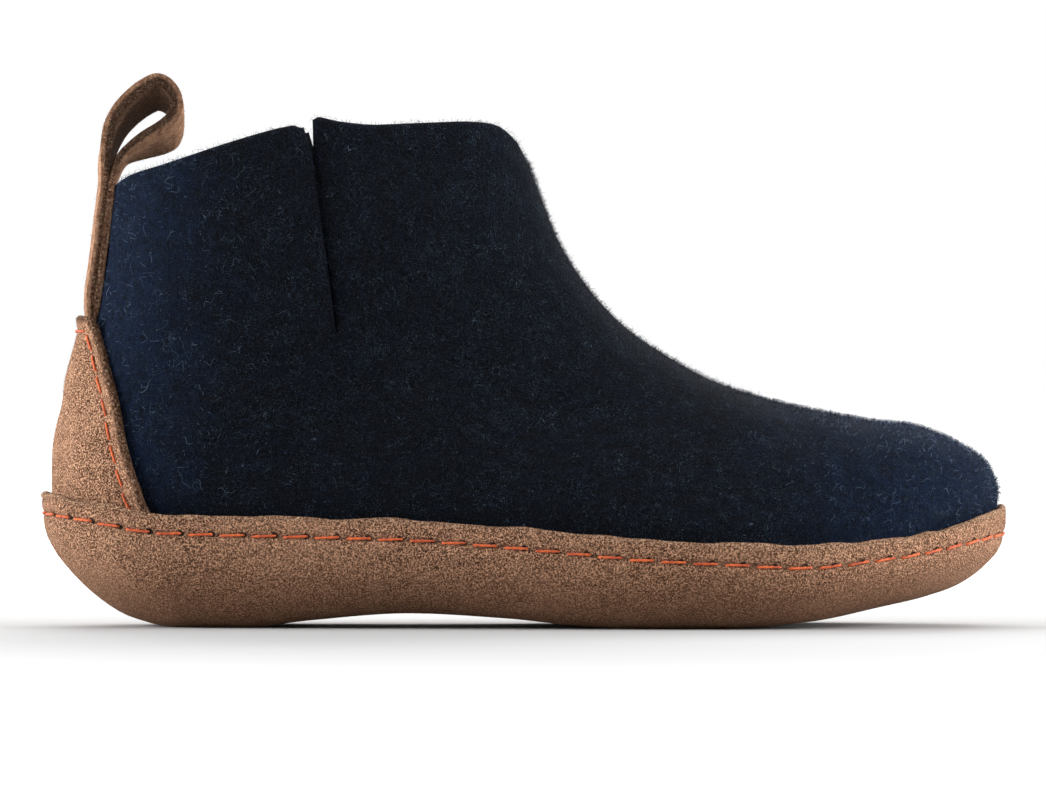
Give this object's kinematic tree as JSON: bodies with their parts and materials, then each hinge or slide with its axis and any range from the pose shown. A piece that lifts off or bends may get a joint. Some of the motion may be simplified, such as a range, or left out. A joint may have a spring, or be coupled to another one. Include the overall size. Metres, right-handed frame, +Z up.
{
  "type": "hut slipper",
  "caption": "Ankle-high felt hut slipper for the right foot, with a slit collar, a stitched suede cup sole, a heel counter and a pull loop.",
  "frame": {"origin": "middle of the bounding box's base, on the floor", "axes": "+X from heel to toe, +Y towards the inner side of the foot, +Z up"},
  "size_m": [0.278, 0.1026, 0.1597],
  "materials": {
    "sole_suede": "matt taupe-brown suede, with an orange seam under the rim",
    "upper_felt": "hairy navy wool felt",
    "counter_suede": "matt taupe-brown suede, with an orange edge seam",
    "loop_suede": "matt brown suede, paler on its flesh side",
    "insole_felt": "undyed grey wool felt"
  },
  "bodies": {
    "root": {"sole": "sole_suede", "upper": "upper_felt", "heel_counter": "counter_suede", "pull_loop": "loop_suede", "insole": "insole_felt"}
  },
  "joints": []
}
